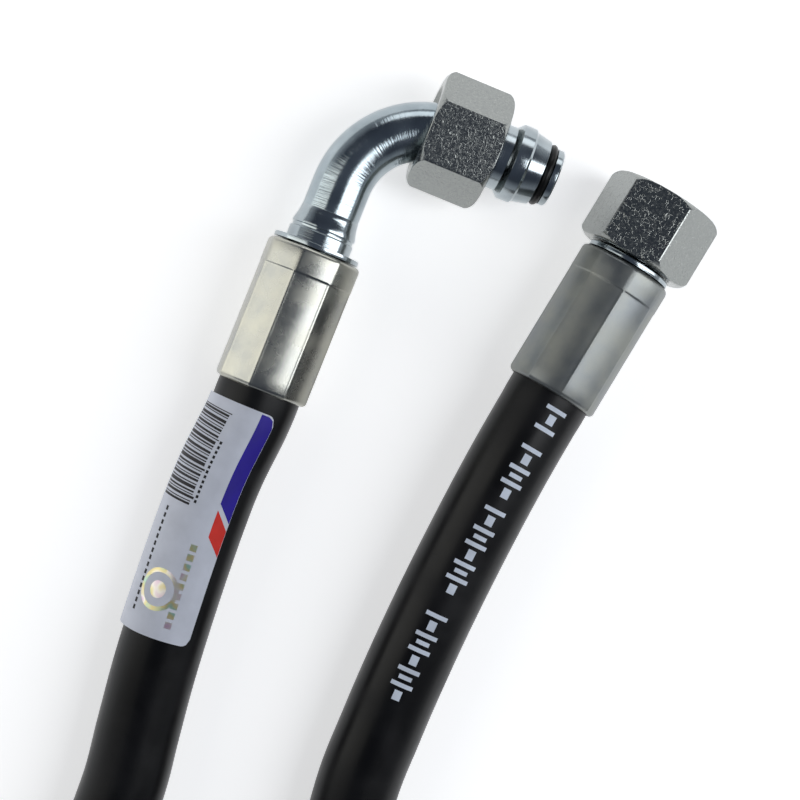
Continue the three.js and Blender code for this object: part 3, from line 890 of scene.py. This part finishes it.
class HOSE_OT_marks(bpy.types.Operator):
    """Plain bars and blocks printed along the hose from its straight end"""

    bl_idname = "hose.marks"
    bl_label = "Marks along the hose"

    def execute(self, context):
        settings = context.scene.hose_settings
        height = settings.mark_height / (HOSE_RADIUS * MM)
        from_straight = HOSE_LENGTH / MM - HOSE_INSERTION
        parts = []
        for first, last in MARK_GROUPS:
            place, i = first, 0
            while place < last:
                centre = math.radians(12 - place * 0.21)
                long, share = MARK_SHAPES[i % len(MARK_SHAPES)]
                angles = (centre - height * share / 2, centre + height * share / 2)
                start = from_straight - place - long
                parts.append(patch("mark", (start, start), (start + long,) * 2, angles,
                                   HOSE_RADIUS + INK_LIFT))
                place += long + MARK_GAP
                i += 1
        ink = look("marking_ink", printed_film, settings.mark_ink,
                   toned(settings.mark_ink, 0.78), 0.5)
        finish_piece(joined("printed_marks", parts), None, ROOT, "label_film", ink)
        return {"FINISHED"}


def film_lift(distance, angle):
    """The film stands off the hose along its far edge, most where a corner has come loose."""
    edge = min(max((math.degrees(angle) - 55) / 50, 0), 1)
    return edge * edge * (0.75 + 0.012 * max(distance - 45, 0))


class HOSE_OT_label(bpy.types.Operator):
    """Film wrapped round the hose, with a blue band, a red block, bars, rules and a foil ring"""

    bl_idname = "hose.label"
    bl_label = "Label"

    def execute(self, context):
        settings = context.scene.hose_settings
        start = HOSE_INSERTION + settings.label_start / MM
        end = start + settings.label_length / MM
        base = HOSE_RADIUS + FILM_LIFT
        corners = (LABEL_CORNER, LABEL_CORNER)
        film = patch("label_film", (start, start), (end, end), LABEL_ANGLES, base,
                     thickness=FILM_THICKNESS, round_start=corners, round_end=corners,
                     lift=film_lift)
        film_look = look("label_film", printed_film, settings.film,
                         toned(settings.film, 0.87), 0.40)
        finish_piece(film, None, ROOT, "label_film", film_look, "hose_label")
        surface = base + FILM_THICKNESS + 0.01
        self.band_and_block(settings, start, surface)
        self.bars(start, surface)
        self.foil(start, surface)
        return {"FINISHED"}

    def band_and_block(self, settings, start, surface):
        """A band along the near edge and a slanted block after it."""
        angles = (math.radians(-33.5), math.radians(-12))
        blue = look("label_blue", printed_film, settings.band, toned(settings.band, 0.73), 0.40)
        red = look("label_red", printed_film, settings.block, toned(settings.block, 0.78), 0.45)
        band = patch("label_blue_band", (start + 0.4,) * 2, (start + 29, start + 24.5), angles,
                     surface, round_start=(LABEL_CORNER, 0))
        finish_piece(band, None, ROOT, "label_film", blue)
        block = patch("label_red_block", (start + 31, start + 26.3), (start + 38, start + 33.5),
                      angles, surface)
        finish_piece(block, None, ROOT, "label_film", red)

    def bars(self, start, surface):
        """Bars of no meaning, a row of ticks beside them and a rule of dashes."""
        ink = look("label_black", printed_film, "#17161c", "#24232a", 0.5)
        parts = []
        place = start + 3.2
        i = 0
        while place < start + 27.5:
            wide = BAR_WIDTHS[i % len(BAR_WIDTHS)]
            gap = BAR_GAPS[i % len(BAR_GAPS)]
            reach = 27 if i % 9 else 24
            angles = (math.radians(reach), math.radians(88))
            parts.append(patch("bar", (place,) * 2, (place + wide,) * 2, angles, surface,
                               lift=film_lift))
            place += wide + gap
            i += 1
        for k in range(13):
            tick = start + 10.5 + k * 1.28
            parts.append(patch("tick", (tick,) * 2, (tick + 0.75,) * 2,
                               (math.radians(18.5), math.radians(22)), surface))
        for k in range(15):
            dash = start + 30 + k * 1.85
            parts.append(patch("dash", (dash,) * 2, (dash + 1.15,) * 2,
                               (math.radians(59), math.radians(64)), surface, lift=film_lift))
        finish_piece(joined("label_bars", parts), None, ROOT, "label_film", ink)

    def foil(self, start, surface):
        """A plain ring with a disc in it and a broken line, in iridescent foil."""
        foil = look("iridescent_foil", iridescent_foil)
        parts = [
            flat_ring("ring", start + 50, math.radians(30), 4.3, 5.4, surface, film_lift),
            flat_ring("disc", start + 50, math.radians(30), 0.01, 2.2, surface, film_lift),
        ]
        for k in range(9):
            dash = start + 36.5 + k * 2.55
            parts.append(patch("dash", (dash,) * 2, (dash + 1.7,) * 2,
                               (math.radians(-3), math.radians(6)), surface))
        finish_piece(joined("label_foil", parts), None, ROOT, "label_film", foil)


# ---- fittings ----


def tail_outline():
    """Outside of a stem: three barbs, the lock collar in the ferrule's lip, and the disc."""
    end, root, barb, collar, neck, disc = 5.15, 5.45, 5.9, 9.5, 7.7, 11.3
    outline = [(STEM_BORE, 4), (end, 4)]
    for foot in (5, 12, 19):
        outline += [(root, foot), (barb, foot + 6)]
    outline += [(root, 26), (root, 32.2), (collar, 32.2), (collar, 34.2), (neck, 34.2)]
    return outline + [(neck, DISC_START), (disc, DISC_START), (disc, DISC_END)]


def cone_outline(rear):
    """The collar, the 24 degree cone, the O-ring's groove and the tip, from height rear."""
    return [(r, rear + h) for r, h in (
        (8.6, 0), (10, 1.4), (10, 4.6), (9.35, 5.2), (8.5, 9.2), (6, 9.2), (6, 11.6),
        (7.45, 11.6), (7.45, 13.0), (7.05, CONE_TO_TIP), (5, CONE_TO_TIP),
    )]


def crimp(piece, roll, crown):
    """Presses eight crowned flats into a turned ferrule, deeper below its top.

    A crown of 0 would leave it round, and 1 would make true flats.
    """
    eighth = math.pi / 4
    crimped_to = FERRULE_LENGTH - FERRULE_TOP
    step, corner_step = 0.22, 0.06  # how much further out the top's flats and corners stay
    ridge_height, ridge_half_width = 0.09, math.radians(1.4)  # squeezed up between two dies
    for vertex in piece.data.vertices:
        x, y, z = (c / MM for c in vertex.co)
        radius = math.hypot(x, y)
        if radius < FERRULE_BORE + 0.2:
            continue
        from_corner = math.atan2(y, x) - roll
        from_corner -= eighth * round(from_corner / eighth)
        from_flat = eighth / 2 - abs(from_corner)
        top = min(max((z - crimped_to) / 0.4, 0), 1)
        top = top * top * (3 - 2 * top)
        flat_middle = CRIMPED_RADIUS * math.cos(eighth / 2 * crown) + step * crown * top
        flat = flat_middle / math.cos(from_flat * crown)
        ridge = ridge_height * (1 - top) * math.exp(-(from_corner / ridge_half_width) ** 2)
        pressed = min(flat, CRIMPED_RADIUS + corner_step * top) + ridge
        vertex.co.xy *= (pressed - (FERRULE_RADIUS - radius)) / radius


def ferrule(name, roll, crown):
    """A turned shell with rounded ends and an inner lip, crimped by eight dies."""
    edge, lip_bore, lip = 1.2, 8.0, 3.0
    lower = []
    for i in range(5):
        a = i * math.pi / 8
        lower.append((FERRULE_RADIUS - edge + edge * math.sin(a), edge - edge * math.cos(a)))
    upper = [(radius, FERRULE_LENGTH - height) for radius, height in reversed(lower)]
    top = FERRULE_LENGTH - FERRULE_TOP
    near_top = (-0.4, -0.05, 0.1, 0.25, 0.4, 0.6, 3)
    side = [(FERRULE_RADIUS, height) for height in
            (*range(4, 29, 4), *(top + offset for offset in near_top))]
    bore = [
        (lip_bore, FERRULE_LENGTH), (lip_bore, FERRULE_LENGTH - lip),
        (FERRULE_BORE, FERRULE_LENGTH - lip), (FERRULE_BORE, 1.2), (11.3, 0.5), (11.4, 0),
    ]
    piece = turned(name, lower + side + upper + bore, steps=288)
    crimp(piece, roll, crown)
    shade(piece, 50)
    return piece


def barrel_outline(corner):
    """A solid that rounds both ends of a hexagon off, as chamfering on a lathe does."""
    face, drop = 12.6, 3.0
    ends = []
    for i in range(9):
        a = i * math.pi / 16
        ends.append((face + (corner + 0.1 - face) * math.sin(a), drop - drop * math.cos(a)))
    far_ends = [(radius, NUT_LENGTH - height) for radius, height in reversed(ends)]
    return [(0, 0), *ends, *far_ends, (0, NUT_LENGTH)]


def nut_bore_outline():
    """The rear bore, the seat that pushes the cone, the grooved thread and the mouth."""
    rear, minor, major = 9.1, 10.4, 10.95
    relief = minor + 0.6
    countersink, chamfer, pitch = 1.8, 1.1, 1.5
    height = 6.6  # where the thread starts
    outline = [
        (0, -1), (rear + countersink, -1), (rear + countersink, 0), (rear, countersink),
        (rear, 3.8), (relief, 5.7), (relief, height),
    ]
    while height + pitch < NUT_LENGTH - 1.0:
        outline += [(minor, height + 0.45), (minor, height + 0.75), (major, height + 1.3),
                    (major, height + 1.45)]
        height += pitch
    mouth = minor + chamfer
    return outline + [
        (minor, NUT_LENGTH - chamfer), (mouth, NUT_LENGTH), (mouth, NUT_LENGTH + 1),
        (0, NUT_LENGTH + 1),
    ]


def nut(name, roll):
    """A hexagon rounded at both ends, bored and threaded, with its rear face at height 0."""
    bpy.ops.object.select_all(action="DESELECT")
    corner = NUT_FLATS / 2 / math.cos(math.pi / 6)
    bpy.ops.mesh.primitive_cylinder_add(
        vertices=6, radius=corner * MM, depth=NUT_LENGTH * MM,
        location=(0, 0, NUT_LENGTH / 2 * MM),
    )
    piece = named(name)
    bpy.ops.object.transform_apply(location=True, rotation=True, scale=True)
    piece.data.transform(Matrix.Rotation(roll, 4, "Z"))
    apply_modifier(piece, "BEVEL", width=0.35 * MM, segments=4, limit_method="ANGLE",
                   angle_limit=math.radians(40))
    combine(piece, turned("barrel", barrel_outline(corner), steps=128), "INTERSECT")
    combine(piece, turned("bore", nut_bore_outline()), "DIFFERENCE")
    soften(piece, 0.2, angle=24, segments=2)
    apply_modifier(piece, "WEIGHTED_NORMAL", mode="FACE_AREA", weight=100, keep_sharp=True)
    return piece


class HOSE_OT_elbow(bpy.types.Operator):
    """Insert, bent tube, cone and crimped ferrule of the elbow end"""

    bl_idname = "hose.elbow"
    bl_label = "Elbow end"

    def execute(self, context):
        insert = turned("elbow_insert_stem", tail_outline() + [
            (NECK_RADIUS, DISC_END), (NECK_RADIUS, DISC_END + 2.9),
            (8.1, DISC_END + 3.1), (8.1, DISC_END + 3.9),
            (8.42, DISC_END + 4.1), (8.36, DISC_END + 4.8), (8.12, DISC_END + 5.7),
            (7.86, DISC_END + 6.7), (7.70, DISC_END + 7.7), (7.60, DISC_END + 8.8),
            (7.52, DISC_END + 8.9), (7.52, DISC_END + 1.0), (STEM_BORE, DISC_END + 1.0),
        ])
        soften(insert, 0.1, angle=50)
        zinc = turned_zinc("zinc_turned_insert", (0, 1, 0))
        finish_piece(insert, ELBOW_LEG, ROOT, "tube_zinc", zinc, "elbow_insert")
        shell = ferrule("elbow_crimped_ferrule", ELBOW_FERRULE_ROLL, 0.82)
        finish_piece(shell, ELBOW_LEG, ROOT, "ferrule_zinc", ferrule_zinc(), "elbow_ferrule")
        self.tube()
        rear = CONE_REAR
        mouth = rear - CONE_SOCKET_LENGTH
        cone = turned("elbow_cone_nipple", [
            (CONE_SOCKET_RADIUS, mouth), (8.2, mouth), (NECK_RADIUS, mouth + 0.3),
            (NECK_RADIUS, rear), *cone_outline(rear),
            (5, mouth + 3.5), (CONE_SOCKET_RADIUS, mouth + 3.5),
        ])
        soften(cone, 0.12)
        zinc = turned_zinc("zinc_turned_cone", OUTLET)
        finish_piece(cone, ELBOW_OUTLET, ROOT, "tube_zinc", zinc, "elbow_cone")
        return {"FINISHED"}

    def tube(self):
        """A circle drawn straight, spun round the bend and drawn straight again."""
        over_disc, into_cone = 1.3, 3.2
        start = DISC_END + over_disc
        bend_start = MOUTH_TO_CORNER - BEND_RADIUS
        end = CONE_REAR - CONE_SOCKET_LENGTH + into_cone
        straight = bend_start - start
        arc = BEND_RADIUS * math.pi / 2
        total = straight + arc + end - BEND_RADIUS

        def place(u, v):
            around = 2 * math.pi * u
            run = v * total
            side = TUBE_RADIUS * math.sin(around)
            top = TUBE_RADIUS * math.cos(around)
            if run < straight:
                return Vector((side, run + start - MOUTH_TO_CORNER, top)) * MM
            if run > straight + arc:
                return Vector((BEND_RADIUS + run - straight - arc, -side, top)) * MM
            turn = (run - straight) / BEND_RADIUS
            reach = BEND_RADIUS - side
            return Vector((BEND_RADIUS - reach * math.cos(turn),
                           reach * math.sin(turn) - BEND_RADIUS, top)) * MM

        tube = wrapped("elbow_bent_tube", 96, 140, place)
        scale_uv(tube, 2 * math.pi * TUBE_RADIUS, total)
        tube_wall(tube, TUBE_WALL)
        finish_piece(tube, Matrix.Translation(CORNER), ROOT, "tube_zinc", bent_tube_zinc(),
                     "elbow_tube")


class HOSE_OT_straight(bpy.types.Operator):
    """One-piece stem and crimped ferrule of the straight end"""

    bl_idname = "hose.straight"
    bl_label = "Straight end"

    def execute(self, context):
        rear = DISC_END + NECK_LENGTH
        stem = turned("straight_end_stem", [
            *tail_outline(), (NECK_RADIUS, DISC_END), (NECK_RADIUS, rear),
            *cone_outline(rear), (5, rear + 6.7), (STEM_BORE, rear),
        ])
        soften(stem, 0.12)
        zinc = turned_zinc("zinc_turned_stem", STRAIGHT)
        finish_piece(stem, STRAIGHT_END, ROOT, "tube_zinc", zinc, "straight_stem")
        shell = ferrule("straight_crimped_ferrule", STRAIGHT_FERRULE_ROLL, 0.6)
        # Rougher zinc with darker tones than the elbow's ferrule: the darker tones are painted shade.
        zinc = dull_shaded_ferrule_zinc()
        finish_piece(shell, STRAIGHT_END, ROOT, "ferrule_zinc", zinc, "straight_ferrule")
        return {"FINISHED"}


class HOSE_OT_nuts(bpy.types.Operator):
    """The two swivel nuts"""

    bl_idname = "hose.nuts"
    bl_label = "Swivel nuts"

    def execute(self, context):
        first = nut("elbow_swivel_nut", ELBOW_NUT_ROLL)
        first.data.transform(Matrix.Translation((0, 0, ELBOW_NUT_REAR * MM)))
        finish_piece(first, ELBOW_OUTLET, "elbow_nut", "nut_zinc", nut_zinc(), "elbow_nut")
        second = nut("straight_swivel_nut", STRAIGHT_NUT_ROLL)
        second.data.transform(Matrix.Translation((0, 0, (DISC_END + NUT_TO_DISC) * MM)))
        finish_piece(second, STRAIGHT_END, "straight_nut", "nut_zinc", nut_zinc(), "straight_nut")
        return {"FINISHED"}


class HOSE_OT_seals(bpy.types.Operator):
    """The O-rings in the cones' grooves"""

    bl_idname = "hose.seals"
    bl_label = "O-rings"

    def execute(self, context):
        rubber = look("seal_rubber", moulded_rubber, "#090909", "#121212", 0.3)
        groove, ring_radius, section = 10.4, 7.1, 1.0
        flash = 0.04  # the fine ridge where the mould's halves met
        ends = (
            ("elbow_seal", ELBOW_OUTLET, CONE_REAR + groove, "elbow_o_ring"),
            ("straight_seal", STRAIGHT_END, DISC_END + NECK_LENGTH + groove, "straight_o_ring"),
        )
        for name, place, height, node in ends:
            outline = []
            for i in range(20):
                around = 2 * math.pi * i / 20
                reach = section + flash if i == 0 else section
                outline.append((ring_radius + reach * math.cos(around),
                                height + section * math.sin(around)))
            ring = turned(name, outline)
            bpy.ops.object.shade_smooth()
            finish_piece(ring, place, ROOT, "seal_rubber", rubber, node)
        return {"FINISHED"}


# ---- panel and registration ----

OPERATORS = (
    HOSE_OT_stage, HOSE_OT_hose, HOSE_OT_marks, HOSE_OT_label, HOSE_OT_cord,
    HOSE_OT_elbow, HOSE_OT_straight, HOSE_OT_nuts, HOSE_OT_seals,
)


class HOSE_PT_panel(bpy.types.Panel):
    """Lists the steps that build the hose assembly"""

    bl_idname = "HOSE_PT_panel"
    bl_label = "Hose assembly"
    bl_space_type = "VIEW_3D"
    bl_region_type = "UI"
    bl_category = "Hose"

    def draw(self, context):
        for operator in OPERATORS:
            self.layout.operator(operator.bl_idname)


CLASSES = (HoseSettings, StageSettings, *OPERATORS, HOSE_PT_panel)


def register():
    for item in CLASSES:
        bpy.utils.register_class(item)
    bpy.types.Scene.hose_settings = bpy.props.PointerProperty(type=HoseSettings)
    bpy.types.Scene.stage_settings = bpy.props.PointerProperty(type=StageSettings)


def unregister():
    del bpy.types.Scene.stage_settings
    del bpy.types.Scene.hose_settings
    for item in reversed(CLASSES):
        bpy.utils.unregister_class(item)


def main():
    register()
    for operator in OPERATORS:
        group, name = operator.bl_idname.split(".")
        getattr(getattr(bpy.ops, group), name)()


if __name__ == "__main__":
    main()
